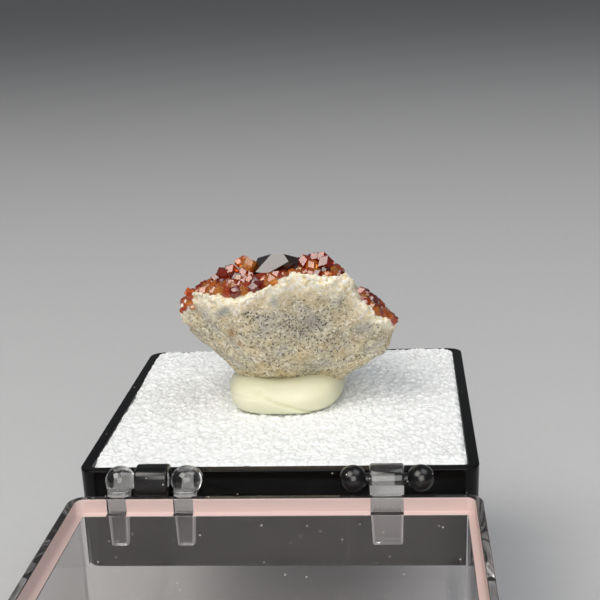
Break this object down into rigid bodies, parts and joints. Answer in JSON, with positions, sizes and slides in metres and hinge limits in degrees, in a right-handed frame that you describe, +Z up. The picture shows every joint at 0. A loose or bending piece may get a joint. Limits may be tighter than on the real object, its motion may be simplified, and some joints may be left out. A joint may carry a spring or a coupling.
{
  "type": "garnet on matrix in a hinged thumbnail display box",
  "caption": "Garnet crystals on pale rock, set in putty on white foam in a shallow black tray, with a clear lid on a snap hinge that hangs open in front",
  "frame": {"origin": "Middle of the tray's flat underside, the face that holds the box up", "axes": "+Z up out of the tray, -Y towards the hinge side and the open lid, +X to the right seen from the hinge side"},
  "size_m": [0.0318, 0.066, 0.0352],
  "materials": {
    "black_plastic": "glossy black moulded polystyrene",
    "clear_plastic": "clear moulded polystyrene with fine scratches and dust",
    "foam": "white expanded bead foam, glittering where the beads catch light",
    "putty": "cream mounting putty, smooth satin with a pressed fold",
    "rock": "granular pale feldspar rock with grey and brown specks and a white sugary rim",
    "garnet": "orange red to dark brown garnet, clear and glassy with bright flat faces"
  },
  "bodies": {
    "tray": {"base_tray": "black_plastic", "foam_block": "foam", "putty": "putty", "matrix": "rock", "garnets_top": "garnet", "garnets_right": "garnet", "garnets_left": "garnet"},
    "lid": {"lid": "clear_plastic"}
  },
  "joints": [
    {"name": "lid_hinge", "type": "hinge", "parent": "tray", "child": "lid", "pos_m": [0, -0.01713, 0.00795], "axis": [1, 0, 0], "range_deg": [-180, 10]}
  ]
}
